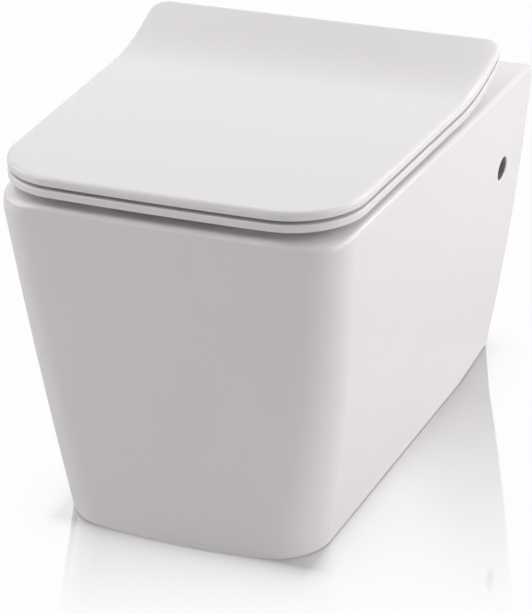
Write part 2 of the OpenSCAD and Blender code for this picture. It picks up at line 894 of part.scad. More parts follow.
// Two upright screws through the pad of the arm that starts at x0, on both sides
module arm_screws(x0, low, r, extra) {
  z = rim_z + low + rise(rear_gap + pad_reach / 2 + 3);
  both_sides()
    for (share = [0.25, 0.75])
      rod_z(r, z - arm_pad - extra, z + screw_hole_depth, x0 + knuckle_length * share,
        -rear_gap - pad_reach / 2 - 3);
}
module seat_arms() {
  color([0.88, 0.88, 0.88])
    both_sides()
      arm(seat_knuckle_in, seat_low);
}
module lid_arms() {
  color([0.88, 0.88, 0.88])
    both_sides()
      arm(lid_knuckle_in, lid_low);
}
module seat_arm_screws() {
  color([0.8, 0.8, 0.82])
    arm_screws(seat_knuckle_in, seat_low, screw_r, 0);
}
module lid_arm_screws() {
  color([0.8, 0.8, 0.82])
    arm_screws(lid_knuckle_in, lid_low, screw_r, 0);
}

// Buffers stand on the piece below with a small clearance
buffer_front = pan_length - 36;
buffer_rear = sweep_start + 20;
buffer_x = 71;
buffer_long = 13;
buffer_short = 6;
module buffers(low, high, inset) {
  side_x = lid_half_width(buffer_rear) - inset;
  both_sides() {
    block(buffer_x - buffer_long, buffer_x + buffer_long, -buffer_front - buffer_short,
      -buffer_front + buffer_short, rim_z + low, rim_z + high);
    block(side_x - buffer_short, side_x + buffer_short, -buffer_rear - buffer_long,
      -buffer_rear + buffer_long, rim_z + low, rim_z + high);
  }
}
module seat_buffers() {
  color([0.85, 0.86, 0.86])
    buffers(seat_clear, seat_low, 22);
}
module lid_buffers() {
  color([0.85, 0.86, 0.86])
    buffers(seat_top + seat_clear, lid_low, 34);
}

pan_shell();
rim_deck();
bowl();
sump();
trapway();
flush_duct();
inlet_socket();
rear_frame();
inlet_seal();
stud_sleeves();
fixing_brackets();
clamp_screws();
seat_studs();
expansion_plugs();
plug_nuts();
base_plates();
cover_caps();
hinge_posts();
hinge_block(-1);  // hinge_block_left
hinge_block(1);  // hinge_block_right
release_button(-1);  // release_button_left
release_button(1);  // release_button_right
button_spring(-1);  // button_spring_left
button_spring(1);  // button_spring_right
lid_damper();
lid_damper_shaft();
lid_bush();
lid_pin();
seat_damper();
seat_damper_shaft();
seat_bush();
seat_pin();
seat_ring();
seat_arms();
seat_arm_screws();
seat_buffers();
lid_panel();
lid_arms();
lid_arm_screws();
lid_buffers();
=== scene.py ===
import math
import bmesh
import bpy
import numpy as np
from mathutils import Matrix, Vector


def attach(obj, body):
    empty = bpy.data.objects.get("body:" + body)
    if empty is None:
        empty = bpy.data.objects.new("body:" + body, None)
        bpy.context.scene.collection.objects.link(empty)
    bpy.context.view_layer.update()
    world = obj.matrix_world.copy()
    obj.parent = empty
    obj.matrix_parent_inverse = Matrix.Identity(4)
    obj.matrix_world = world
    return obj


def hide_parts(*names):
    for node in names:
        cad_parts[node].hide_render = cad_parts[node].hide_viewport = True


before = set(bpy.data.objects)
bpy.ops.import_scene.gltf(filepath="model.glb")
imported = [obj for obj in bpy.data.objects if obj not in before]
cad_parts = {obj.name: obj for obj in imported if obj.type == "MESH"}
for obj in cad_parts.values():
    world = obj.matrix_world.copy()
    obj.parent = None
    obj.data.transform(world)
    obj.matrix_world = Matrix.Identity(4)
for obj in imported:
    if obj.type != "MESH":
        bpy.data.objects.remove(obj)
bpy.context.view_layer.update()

# Sizes in millimetres, the same as the CAD's; +X right, +Y into the wall, +Z up
MM = 0.001
# Heights of the rim's top, the deck's underside and the foot
RIM_Z, SLAB_Z, FOOT_Z = 93.0, 71.0, -247.0
SHELL_WALL, BOWL_WALL, FLOOR_WALL = 11.0, 9.0, 10.0
FLOOR_TOP = FOOT_Z + FLOOR_WALL
# Pairs: the value at the foot and at the rim
WALL_HALF, FRONT_HALF, LENGTH = (148.0, 192.0), (130.5, 169.0), (482.0, 503.0)
CORNER, BOW = (43.0, 38.0), (16.0, 4.0)
# How far the sides swell out and the front draws in halfway up
SWELL, HOLLOW = 5.0, 4.0
RIM_ROUND, FOOT_ROUND, OPENING_ROUND = 6.0, 3.5, 5.0
# The front corners at the rim's top, and the height over which they soften toward it
TOP_CORNER, CORNER_FADE = 67.0, 20.0
# How far and over which length the underside climbs to the wall, and where the wall's rows are level again
CLIMB, CLIMB_LENGTH, CLIMB_TOP = 12.0, 76.0, -40.0
# The side holes: place, radius, roundings outside and inside, and the square that their patch fills
HOLE_Y, HOLE_R, LIP_OUT, LIP_IN, PATCH_HALF = -59.0, 12.0, 2.2, 0.8, 30.0
# Between these distances past a hole's radius the bare colour, darkened as painted shade, gives way to the
# glaze
BARE_SHADE_END, GLAZE_START = 0.15, 0.6
# The pan's columns: their spacing near the wall, where that ends, and how far the closer columns of the
# front corner start before it and end after it
GRID, GRID_END, BEFORE_CORNER, AFTER_CORNER = 4.0, 100.0, 12.0, 14.0
# The same for the plates: lengths after the rear's straight part and before the front's middle
PLATE_REAR, PLATE_NOSE = 34.0, 230.0
# Width of the blend where straight sides meet round corners, on the pan and on the plates
PAN_BLEND, PLATE_BLEND = 5.0, 3.0
# The line on which a closed face's rows meet, from y to y: the pan's foot and floor, and the lid
PAN_SPINE, LID_SPINE = (-330.0, 0.0), (-430.0, -180.0)
# The bowl's opening and its sump: distance from the wall, half width and half length
BOWL_MID, BOWL_HALF, BOWL_REACH = 312.5, 112.0, 142.5
SUMP_MID, SUMP_HALF, SUMP_REACH = 246.0, 36.0, 40.0
BOWL_BOTTOM, BOWL_CURL, BOWL_FALL = -228.0, 12.0, 0.85
# Squareness of the openings: 1 is a plain ellipse, less is squarer
SQUARE = 0.8
# Plan of the lid and the seat, and the seat's opening
PLATE_WALL, PLATE_FRONT, PLATE_LENGTH, PLATE_CORNER = 192.5, 169.5, 504.5, 67.0
REAR_GAP, REAR_R = 87.0, 16.0
SEAT_MID, SEAT_HALF, SEAT_REACH = 315.0, 108.0, 134.0
# Lower and upper faces above the rim, and the roundings of their outer edges and of the seat's opening
LID_LOW, LID_TOP, SEAT_LOW, SEAT_TOP = 20.5, 29.0, 9.5, 17.0
LID_LOW_ROUND, LID_TOP_ROUND, SEAT_LOW_ROUND, SEAT_TOP_ROUND, SEAT_HOLE_ROUND = 1.0, 4.0, 1.2, 1.4, 3.0
SWEEP_START, SWEEP_R, SWEEP_ANGLE = 205.0, 236.0, math.radians(18.8)
# Points closer than this, in metres, are one point, and edges sharper than this aren't shaded smooth
MERGE, SHARP = 1e-6, math.radians(40)


def mix(a, b, t):
    """The value that lies the share t of the way from a to b."""
    return a + (b - a) * t


def hump(t):
    """A parabola that is 0 at both ends and 1 in the middle."""
    return 4 * t * (1 - t)


def share(z):
    """Height as a share of the pan's height, 0 at the foot and 1 at the rim."""
    return (z - FOOT_Z) / (RIM_Z - FOOT_Z)


def quarter(r, start, end, count):
    """Steps along a quarter circle of radius r that rounds an edge: for each angle from the side, how far
    the step lies in from the side, and how far from the face."""
    angles = np.radians(np.linspace(start, end, count))
    return [(r * (1 - math.cos(a)), r * (1 - math.sin(a))) for a in angles]


def superellipse(phi, half_x, half_y, squareness):
    """Distance from the centre to a superellipse in direction phi."""
    p = 2 / squareness
    return (np.abs(np.cos(phi) / half_x) ** p + np.abs(np.sin(phi) / half_y) ** p) ** (-1 / p)


def corner_radius(z):
    """Radius of the front corners at height z. They soften toward the rim's top as a quarter ellipse."""
    u = max(0.0, 1 - (RIM_Z - z) / CORNER_FADE)
    return mix(*CORNER, share(z)) + (TOP_CORNER - CORNER[1]) * (1 - math.sqrt(max(0.0, 1 - u * u)))


def arc_length(p):
    """Running length along a line of points."""
    return np.concatenate([[0], np.cumsum(np.linalg.norm(np.diff(p, axis=0), axis=1))])


def along(p, s):
    """Points at lengths s along a line of points."""
    length = arc_length(p)
    return np.stack([np.interp(s, length, p[:, k]) for k in range(p.shape[1])], 1)


def softened(p, spread, step=1.5):
    """A half outline with its kinks blended. It is resampled evenly, carried past the rear by point
    reflection and past the centre line by mirroring, and averaged under a bell curve."""
    total = arc_length(p)[-1]
    n = int(total / step)
    q = along(p, np.linspace(0, total, n + 1))
    pad = int(4 * spread / step)
    rear = 2 * q[0] - q[1:pad + 1][::-1]
    front = q[-pad - 1:-1][::-1] * [-1, 1]
    full = np.concatenate([rear, q, front])
    bell = np.exp(-0.5 * (np.arange(-pad, pad + 1) * step / spread) ** 2)
    bell /= bell.sum()
    out = np.stack([np.convolve(full[:, k], bell, "valid") for k in (0, 1)], 1)
    out[-1, 0] = 0
    return out


def half_outline(wall, front, length, r, bow, rear):
    """Right half of a plan: a straight side from y = rear, a round corner of radius r and a front
    that bows out by bow at the centre line. wall and front are half widths at the wall and in front."""
    yf = -(length - bow)
    turn = yf + r
    xe = mix(wall, front, turn / yf)
    xc = xe - r
    y = np.linspace(rear, turn, 60)
    side = np.stack([mix(wall, front, y / yf), y], 1)
    a = np.radians(np.linspace(0, 90, 60)[1:])
    x = xc + r * np.cos(a)
    corner = np.stack([x, turn - r * np.sin(a) - bow * (1 - (x / xe) ** 2) * np.sin(a)], 1)
    x = xc * (1 - np.linspace(0, 1, 50)[1:])
    nose = np.stack([x, yf - bow * (1 - (x / xe) ** 2)], 1)
    return np.concatenate([side, corner, nose]), (len(side), len(side) + len(corner))


def pan_half(z, inset):
    """Right half of the pan's plan at height z, drawn in by inset, at the columns that all rows share:
    evenly spaced near the wall, then closer together round the corner."""
    t = share(z)
    swell = SWELL * hump(t) - inset
    p, (side, corner) = half_outline(
        mix(*WALL_HALF, t) + swell, mix(*FRONT_HALF, t) + swell,
        mix(*LENGTH, t) - HOLLOW * hump(t) - inset, corner_radius(z) - inset / 2, mix(*BOW, t), 0)
    length = arc_length(p)
    q = softened(p, PAN_BLEND)
    run = arc_length(q)
    scale = run[-1] / length[-1]
    near = np.arange(0, GRID_END + 1, GRID)
    first = np.stack([np.interp(near, -q[:, 1], q[:, 0]), -near], 1)
    s_near = np.interp(GRID_END, -q[:, 1], run)
    s_side = length[side - 1] * scale - BEFORE_CORNER
    s_corner = length[corner - 1] * scale + AFTER_CORNER
    s = np.concatenate([
        np.linspace(s_near, s_side, 19)[1:],
        np.linspace(s_side, s_corner, 37)[1:],
        np.linspace(s_corner, run[-1], 25)[1:]])
    return np.concatenate([first, along(q, s)])


def mirrored(half):
    """A full open ring, from the right rear round the front to the left rear."""
    return np.concatenate([half, half[-2::-1] * [-1, 1]])


def lifted(ring, z):
    """Points of the plane with a height."""
    return np.column_stack([ring, np.broadcast_to(z, len(ring))])


class Builder:
    """Collects points and faces for one mesh. Grids are arrays of rows of points."""

    def __init__(self):
        self.points, self.faces, self.count = [], [], 0

    def add(self, points):
        """Adds points and returns their numbers, in the same layout."""
        p = np.asarray(points, float)
        flat = p.reshape(-1, 3)
        self.points.append(flat)
        numbers = np.arange(self.count, self.count + len(flat)).reshape(p.shape[:-1])
        self.count += len(flat)
        return numbers

    def at(self, numbers):
        """The points with these numbers."""
        return np.concatenate(self.points)[numbers]

    def quads(self, rows, closed=False, flip=False, skip=None):
        """Faces between neighbouring rows of point numbers. closed joins each row's end to its start, and
        skip is true for the faces to leave out."""
        rows = np.asarray(rows)
        after = np.roll(rows, -1, axis=1)
        f = np.stack([rows[:-1], after[:-1], after[1:], rows[1:]], axis=-1)
        if not closed:
            f = f[:, :-1]
        f = f.reshape(-1, 4) if skip is None else f[~skip]
        self.faces += (f[:, ::-1] if flip else f).tolist()

    def face(self, numbers, flip=False):
        """One face through these point numbers."""
        f = np.asarray(numbers).tolist()
        self.faces.append(f[::-1] if flip else f)

    def mesh(self, name):
        """The finished object, in metres, with doubled points merged and faces turned outwards."""
        p = np.concatenate(self.points) * MM
        key = np.round(p / MERGE).astype(np.int64)
        _, first, inverse = np.unique(key, axis=0, return_index=True, return_inverse=True)
        inverse = inverse.ravel()
        faces = []
        for f in self.faces:
            g = inverse[f].tolist()
            g = [v for i, v in enumerate(g) if v != g[i - 1]]
            if len(set(g)) == len(g) and len(g) > 2:
                faces.append(g)
        data = bpy.data.meshes.new(name)
        data.from_pydata(p[first].tolist(), [], faces)
        data.validate()
        outwards(data)
        return linked(name, data)


def linked(name, data):
    """A new object in the scene."""
    o = bpy.data.objects.new(name, data)
    bpy.context.collection.objects.link(o)
    return o


def outwards(data):
    """Turns a closed mesh's faces outwards, and shades it smooth but for its sharp edges."""
    b = bmesh.new()
    b.from_mesh(data)
    bmesh.ops.recalc_face_normals(b, faces=b.faces)
    if b.calc_volume(signed=True) < 0:
        bmesh.ops.reverse_faces(b, faces=b.faces)
    b.to_mesh(data)
    b.free()
    data.shade_smooth()
    data.set_sharp_from_angle(angle=SHARP)


# The pan: outer and inner walls, rim and deck
def spine(ring, low, high):
    """The nearest points on the centre line between y = low and y = high."""
    return np.stack([np.zeros(len(ring)), np.clip(ring[:, 1], low, high)], 1)


def bowl_fall(t):
    """How far the bowl has drawn in at depth share t, from 0 at the opening to 1 at the sump, along half a
    cosine wave."""
    return (1 - math.cos(math.pi * t ** BOWL_FALL)) / 2


def bowl_centre(t):
    """The bowl's centre on the Y axis at depth share t."""
    return -mix(BOWL_MID, SUMP_MID, bowl_fall(t))


def bowl_loop(phi, t, extra=0.0):
    """Ring of the bowl at depth share t: a superellipse that gets smaller and rounder from the opening to
    the sump. extra makes it wider all round."""
    s = bowl_fall(t)
    half, reach = mix(BOWL_HALF, SUMP_HALF, s) + extra, mix(BOWL_REACH, SUMP_REACH, s) + extra
    r = superellipse(phi, half, reach, mix(SQUARE, 1, t))
    return np.stack([r * np.cos(phi), bowl_centre(t) + r * np.sin(phi)], 1)


def side_x(y, z, inset):
    """Half width of the pan near the wall at y and z."""
    t = share(z)
    yf = -(mix(*LENGTH, t) - HOLLOW * hump(t) - inset - mix(*BOW, t))
    swell = SWELL * hump(t) - inset
    return mix(mix(*WALL_HALF, t) + swell, mix(*FRONT_HALF, t) + swell, y / yf)


def hole_patch(b, grid, columns, levels, inset, lip, sign):
    """Fills the square gap round a side hole, on the side drawn in by inset, with rings that go from the
    gap's edge to a rounded lip. The lip's quarter circle turns toward the middle of the pan, or away from
    it where lip is below 0. Returns the lip's last ring."""
    (i0, i1), (j0, j1) = columns, levels
    edge = np.concatenate([grid[j0, i0:i1], grid[j0:j1, i1], grid[j1, i1:i0:-1], grid[j1:j0:-1, i0]])
    _, y0, z0 = b.at(edge).T
    a = np.arctan2(z0, y0 - HOLE_Y)
    rings = [edge]
    reach = HOLE_R + abs(lip)
    for k in np.linspace(0, 1, 8)[1:]:
        y, z = mix(y0, HOLE_Y + reach * np.cos(a), k), mix(z0, reach * np.sin(a), k)
        rings.append(b.add(np.stack([sign * side_x(y, z, inset), y, z], 1)))
    for inward, widening in quarter(abs(lip), 0, 90, 6)[1:]:
        y, z = HOLE_Y + (HOLE_R + widening) * np.cos(a), (HOLE_R + widening) * np.sin(a)
        x = side_x(y, z, inset) - math.copysign(inward, lip)
        rings.append(b.add(np.stack([sign * x, y, z], 1)))
    b.quads(rings, closed=True)
    return rings[-1]


def climb(y):
    """How far the underside climbs toward the wall at y."""
    return CLIMB * np.maximum(0, 1 + np.asarray(y, float) / CLIMB_LENGTH)


def climbed(rings, inset):
    """Rings of the wall with their lower rows lifted over the climbing underside, less and less up to
    CLIMB_TOP. The lifted points slide along the straight side, so that its form doesn't change."""
    out = np.array(rings)
    for ring, e in zip(out, inset):
        lift = climb(ring[:, 1]) * min(1, max(0, (CLIMB_TOP - ring[0, 2]) / (CLIMB_TOP - FLOOR_TOP)))
        move = lift > 0
        y, z = ring[move, 1], ring[move, 2]
        ring[move, 0] += np.sign(ring[move, 0]) * (side_x(y, z + lift[move], e) - side_x(y, z, e))
        ring[move, 2] += lift[move]
    return out


def ceramic_body():
    """The pan's outside, its inner wall and its deck as one closed mesh. Rows of rings climb the wall from
    the rounded foot to the rounded rim; the deck runs from the rim to the bowl's opening; the inner wall
    is the same wall drawn in by its thickness. Each side hole is a patch with a rounded lip."""
    b = Builder()
    levels = np.concatenate([
        np.linspace(FOOT_Z + FOOT_ROUND, FLOOR_TOP, 3)[:-1],
        np.linspace(FLOOR_TOP, -PATCH_HALF, 24)[:-1],
        np.arange(-PATCH_HALF, PATCH_HALF + 1, GRID),
        np.linspace(PATCH_HALF, SLAB_Z, 6)[1:],
        np.linspace(SLAB_Z, RIM_Z - RIM_ROUND, 9)[1:]])
    rows = ([(FOOT_Z + up, e) for e, up in quarter(FOOT_ROUND, 90, 0, 7)[:-1]] + [(z, 0.0) for z in levels]
            + [(RIM_Z - down, e) for e, down in quarter(RIM_ROUND, 0, 90, 13)[1:]])
    outer_z, outer_inset = np.array(rows).T
    inner_z = levels[(levels >= FLOOR_TOP - 0.01) & (levels <= SLAB_Z + 0.01)]
    inner_inset = np.full(len(inner_z), SHELL_WALL)

    def wall(heights, insets):
        return b.add(climbed([lifted(mirrored(pan_half(z, e)), z) for z, e in zip(heights, insets)], insets))

    outer = wall(outer_z, outer_inset)
    inner = wall(inner_z, inner_inset)
    n = outer.shape[1]
    near = [int((PATCH_HALF * k - HOLE_Y) / GRID) for k in (-1, 1)]
    far = [n - 1 - i for i in near[::-1]]

    def patch_rows(heights):
        return [int(np.argmin(np.abs(heights - k * PATCH_HALF))) for k in (-1, 1)]

    def in_patch(heights):
        out = np.zeros((len(heights) - 1, n - 1), bool)
        for i0, i1 in (near, far):
            out[slice(*patch_rows(heights)), i0:i1] = True
        return out

    b.quads(outer, skip=in_patch(outer_z))
    b.quads(inner, flip=True, skip=in_patch(inner_z))
    for sign, columns in ((1, near), (-1, far)):
        outside = hole_patch(b, outer, columns, patch_rows(outer_z), 0, LIP_OUT, sign)
        inside = hole_patch(b, inner, columns, patch_rows(inner_z), SHELL_WALL, -LIP_IN, sign)
        b.quads([outside, inside], closed=True)

    def rear_edge(ring):
        """Points between a ring's two ends, on the wall plane."""
        right, left = b.at(ring[[0, -1]])
        return b.add(left + (right - left) * np.linspace(0, 1, 30)[1:-1, None])

    # Deck, opening and underside of the deck
    rear_top = rear_edge(outer[-1])
    loop = np.concatenate([outer[-1], rear_top])
    q = b.at(loop)[:, :2]
    phi = np.arctan2(q[:, 1] + BOWL_MID, q[:, 0])
    start = bowl_loop(phi, 0, OPENING_ROUND)
    deck = [loop] + [b.add(lifted(mix(q, start, k), RIM_Z)) for k in np.linspace(0, 1, 13)[1:]]
    deck += [b.add(lifted(bowl_loop(phi, 0, wider), RIM_Z - down))
             for down, wider in quarter(OPENING_ROUND, 0, 90, 8)[1:]]
    low = b.add(lifted(bowl_loop(phi, 0), SLAB_Z))
    b.quads(deck + [low], closed=True)
    rear_under = rear_edge(inner[-1])
    b.quads([low, np.concatenate([inner[-1], rear_under])], closed=True)

    # Foot and inner floor, each from its ring to the centre line, and their edges on the wall plane
    wall_edges = []
    for ring, z in ((outer[0], FOOT_Z), (inner[0], FLOOR_TOP)):
        q = b.at(ring)[:, :2]
        flats = [mix(q, spine(q, *PAN_SPINE), k) for k in np.linspace(0, 1, 6)[1:]]
        floor_rows = np.array([ring] + [b.add(lifted(flat, z + climb(flat[:, 1]))) for flat in flats])
        b.quads(floor_rows)
        wall_edges.append(np.concatenate([floor_rows[:, 0], floor_rows[::-1, -1]]))

    # Faces on the wall plane
    shared = [int(np.argmin(np.abs(outer_z - z))) for z in inner_z]
    for i in (0, n - 1):
        b.quads([outer[shared, i], inner[:, i]])
    k = shared[-1]
    b.face(np.concatenate([outer[k:, 0], rear_top[::-1], outer[k:, -1][::-1],
                           [inner[-1, -1]], rear_under, [inner[-1, 0]]]))
    k = shared[0]
    b.face(np.concatenate([outer[1:k + 1, 0], wall_edges[1], outer[1:k + 1, -1][::-1], wall_edges[0][::-1]]))
    return b.mesh("ceramic_body")


def cut(o, cutters):
    """Subtracts closed cutter objects from o, for good, and removes them."""
    for c in cutters:
        m = o.modifiers.new("cut", "BOOLEAN")
        m.operation, m.solver, m.object = "DIFFERENCE", "EXACT", c
    bpy.context.view_layer.update()
    data = bpy.data.meshes.new_from_object(o.evaluated_get(bpy.context.evaluated_depsgraph_get()))
    o.modifiers.clear()
    old = o.data
    o.data = data
    data.name = old.name
    bpy.data.meshes.remove(old)
    for c in cutters:
        bpy.data.objects.remove(c)
    data.shade_smooth()
    data.set_sharp_from_angle(angle=SHARP)


def rounded_bar(name, half_x, half_z, r, y0, y1, z):
    """A bar along Y whose section is a rectangle with round corners of radius r."""
    b = Builder()
    a = np.radians(np.arange(0, 360, 10))
    x = np.sign(np.cos(a)) * (half_x - r) + r * np.cos(a)
    h = np.sign(np.sin(a)) * (half_z - r) + r * np.sin(a)
    rings = [b.add(np.stack([x, np.full(len(a), y), z + h], 1)) for y in (y0, y1)]
    b.quads(rings, closed=True)
    b.face(rings[0])
    b.face(rings[1], flip=True)
    return b.mesh(name)


def ceramic_bowl():
    """The bowl as one closed mesh: superellipse rings from the deck to the sump, a rounded bottom that ends
    in a pole, and the same form one wall thickness out. Bars cut the water slot and the trap's mouth."""
    b = Builder()
    phi = np.linspace(0, 2 * math.pi, 145)[:-1]

    def side(extra, bottom):
        depths = np.linspace(0, 1, 56)
        rings = [(bowl_loop(phi, t, extra), mix(SLAB_Z, bottom + BOWL_CURL, t)) for t in depths]
        rings += [(bowl_loop(phi, 1, extra - e), bottom + up) for e, up in quarter(BOWL_CURL, 0, 90, 8)[1:]]
        pole = [0, bowl_centre(1)]
        rings += [(pole + (bowl_loop(phi, 1, extra - BOWL_CURL) - pole) * k, bottom) for k in (0.5, 0.0)]
        return [b.add(lifted(ring, z)) for ring, z in rings]

    inside = side(0, BOWL_BOTTOM)
    outside = side(BOWL_WALL, BOWL_BOTTOM - BOWL_WALL)
    b.quads(inside, closed=True)
    b.quads(outside, closed=True, flip=True)
    b.quads([inside[0], outside[0]], closed=True, flip=True)
    o = b.mesh("ceramic_bowl")
    cut(o, [rounded_bar("slot_cutter", half_x=30, half_z=9, r=7, y0=-200, y1=-140, z=57),
            rounded_bar("trap_cutter", half_x=28, half_z=28, r=28, y0=-246, y1=-165, z=-197)])
    return o


# Lid and seat
def rise(y):
    """How far the lid and seat climb toward the wall at y: flat in front, then an arc, then straight."""
    d = -np.asarray(y, float)
    turn = SWEEP_START - SWEEP_R * math.sin(SWEEP_ANGLE)
    arc = SWEEP_R - np.sqrt(SWEEP_R ** 2 - np.clip(SWEEP_START - d, 0, SWEEP_START - turn) ** 2)
    return np.where(d < turn, arc + (turn - d) * math.tan(SWEEP_ANGLE), arc)


def plate_loop(inset):
    """Closed plan of the lid or seat drawn in by inset, from the rear's middle round the right side: a
    straight rear, a small round corner, and the pan's kind of side, corner and bowed front."""
    r = REAR_R - inset
    p, _ = half_outline(PLATE_WALL - inset, PLATE_FRONT - inset, PLATE_LENGTH - inset, PLATE_CORNER - inset,
                        BOW[1], -REAR_GAP - REAR_R)
    rear_half = p[0, 0] - r
    a = np.radians(np.linspace(90, 0, 30)[:-1])
    corner = np.stack([p[0, 0] - r * (1 - np.cos(a)), -REAR_GAP - inset - r * (1 - np.sin(a))], 1)
    x = np.linspace(0, rear_half, 30)[:-1]
    rear = np.stack([x, np.full(len(x), -REAR_GAP - inset)], 1)
    half = np.concatenate([rear, softened(np.concatenate([corner, p]), PLATE_BLEND)])
    total = arc_length(half)[-1]
    turned, nose = rear_half + PLATE_REAR, total - PLATE_NOSE
    s = np.concatenate([np.linspace(0, rear_half, 22)[:-1], np.linspace(rear_half, turned, 16)[:-1],
                        np.linspace(turned, nose, 56)[:-1], np.linspace(nose, total, 62)])
    half = along(half, s)
    half[-1, 0] = 0
    return np.concatenate([half, half[-2:0:-1] * [-1, 1]])


def at_height(loop, z):
    """Puts a plan's points at z above the rim plus the sweep's climb."""
    return np.column_stack([loop, RIM_Z + z + rise(loop[:, 1])])


def rounded_edge(b, low, high, r_low, r_top, loop, count):
    """Rows over the edge of a plate: its rounded top edge, its side and its rounded lower edge. loop gives
    the plan for a distance in from the side."""
    heights = ([(e, high - down) for e, down in quarter(r_top, 90, 0, count)]
               + [(e, low + up) for e, up in quarter(r_low, 0, 90, count)])
    return [b.add(at_height(loop(e), z)) for e, z in heights]


def lid_skin():
    """The lid as one closed mesh: both faces run from their rounded edge to the centre line and follow the
    sweep's profile."""
    b = Builder()
    edge = rounded_edge(b, LID_LOW, LID_TOP, LID_LOW_ROUND, LID_TOP_ROUND, plate_loop, 8)
    b.quads(edge, closed=True)
    for k, r, z in ((0, LID_TOP_ROUND, LID_TOP), (-1, LID_LOW_ROUND, LID_LOW)):
        loop = plate_loop(r)
        mid = spine(loop, *LID_SPINE)
        face = [b.add(at_height(mix(loop, mid, s), z)) for s in np.linspace(0, 1, 36)[1:]]
        b.quads([edge[k], *face], closed=True, flip=k == 0)
    return b.mesh("lid_cover")


def seat_skin():
    """The seat ring as one closed mesh: two faces between the outline and a superellipse opening, with
    rounded edges outside and inside."""
    b = Builder()
    guide = plate_loop(0)
    phi = np.arctan2(guide[:, 1] + SEAT_MID, guide[:, 0])

    def opening(extra):
        r = superellipse(phi, SEAT_HALF + extra, SEAT_REACH + extra, SQUARE)
        return np.stack([r * np.cos(phi), -SEAT_MID + r * np.sin(phi)], 1)

    edge = rounded_edge(b, SEAT_LOW, SEAT_TOP, SEAT_LOW_ROUND, SEAT_TOP_ROUND, plate_loop, 8)
    b.quads(edge, closed=True)
    inner = rounded_edge(b, SEAT_LOW, SEAT_TOP, SEAT_HOLE_ROUND, SEAT_HOLE_ROUND, opening, 7)
    b.quads(inner, closed=True, flip=True)
    hole = opening(SEAT_HOLE_ROUND)
    for k, r, z in ((0, SEAT_TOP_ROUND, SEAT_TOP), (-1, SEAT_LOW_ROUND, SEAT_LOW)):
        loop = plate_loop(r)
        face = [b.add(at_height(mix(loop, hole, s), z)) for s in np.linspace(0, 1, 26)[1:-1]]
        b.quads([edge[k], *face, inner[k]], closed=True, flip=k == 0)
    return b.mesh("seat_ring_skin")


def soften(node, width):
    """A copy of a CAD node with its loose triangles merged and its edges rounded, which stands for it."""
    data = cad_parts[node].data.copy()
    b = bmesh.new()
    b.from_mesh(data)
    bmesh.ops.remove_doubles(b, verts=b.verts, dist=2 * MERGE)
    bmesh.ops.dissolve_limit(b, angle_limit=math.radians(1), verts=b.verts, edges=b.edges)
    b.to_mesh(data)
    b.free()
    data.materials.clear()
    o = linked(node + "_skin", data)
    m = o.modifiers.new("round", "BEVEL")
    m.width, m.segments, m.limit_method, m.angle_limit = width * MM, 3, "ANGLE", math.radians(35)
    m.harden_normals = True
    data.shade_smooth()
    data.set_sharp_from_angle(angle=math.radians(60))
    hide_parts(node)
    return o


# Materials: all on Object coordinates, in metres
def calc(t, operation, a, b=None, c=None):
    """A Math node on sockets or plain numbers, and its result."""
    n = t.nodes.new("ShaderNodeMath")
    n.operation = operation
    for socket, value in zip(n.inputs, (a, b, c)):
        if isinstance(value, (int, float)):
            socket.default_value = value
        elif value is not None:
            t.links.new(value, socket)
    return n.outputs["Value"]


def span(t, value, source, target):
    """A Map Range node that carries the range source over to the range target, held at its ends."""
    n = t.nodes.new("ShaderNodeMapRange")
    n.inputs["From Min"].default_value, n.inputs["From Max"].default_value = source
    n.inputs["To Min"].default_value, n.inputs["To Max"].default_value = target
    t.links.new(value, n.inputs["Value"])
    return n.outputs["Result"]


def choose(t, part, other, chosen):
    """A Mix Shader node: other where part is 0, chosen where it is 1."""
    n = t.nodes.new("ShaderNodeMixShader")
    t.links.new(part, n.inputs["Fac"])
    t.links.new(other, n.inputs[1])
    t.links.new(chosen, n.inputs[2])
    return n.outputs["Shader"]


def blank(m):
    """An empty node tree for a material or world."""
    m.use_nodes = True
    m.node_tree.nodes.clear()
    return m.node_tree


def material(name, base, rough, vary=0.01, rough_vary=0.03, scale=9.0, bump=0.0, bump_scale=60.0,
             bump_depth=0.0002, metal=0.0, stretch=(1, 1, 1)):
    """A procedural surface. Slow noise shifts colour and roughness; finer noise gives the bump."""
    m = bpy.data.materials.new(name)
    t = blank(m)
    out = t.nodes.new("ShaderNodeOutputMaterial")
    s = t.nodes.new("ShaderNodeBsdfPrincipled")
    t.links.new(s.outputs["BSDF"], out.inputs["Surface"])
    co = t.nodes.new("ShaderNodeTexCoord")
    mp = t.nodes.new("ShaderNodeMapping")
    mp.inputs["Scale"].default_value = stretch
    t.links.new(co.outputs["Object"], mp.inputs["Vector"])

    def noise(size, detail=3.0):
        n = t.nodes.new("ShaderNodeTexNoise")
        n.inputs["Scale"].default_value = size
        n.inputs["Detail"].default_value = detail
        t.links.new(mp.outputs["Vector"], n.inputs["Vector"])
        return n.outputs["Fac"]

    # Noise seldom leaves this range
    middle = (0.3, 0.7)
    c = t.nodes.new("ShaderNodeMix")
    c.data_type = "RGBA"
    c.inputs["A"].default_value = [v * (1 - vary) for v in base] + [1]
    c.inputs["B"].default_value = [min(1, v * (1 + vary)) for v in base] + [1]
    t.links.new(span(t, noise(scale), middle, (0, 1)), c.inputs["Factor"])
    t.links.new(c.outputs["Result"], s.inputs["Base Color"])
    roughness = span(t, noise(scale * 3.7), middle, (max(0.02, rough - rough_vary), rough + rough_vary))
    t.links.new(roughness, s.inputs["Roughness"])
    s.inputs["Metallic"].default_value = metal
    if bump:
        h = t.nodes.new("ShaderNodeBump")
        h.inputs["Strength"].default_value = bump
        h.inputs["Distance"].default_value = bump_depth
        t.links.new(noise(bump_scale, 2.0), h.inputs["Height"])
        t.links.new(h.outputs["Normal"], s.inputs["Normal"])
    return m


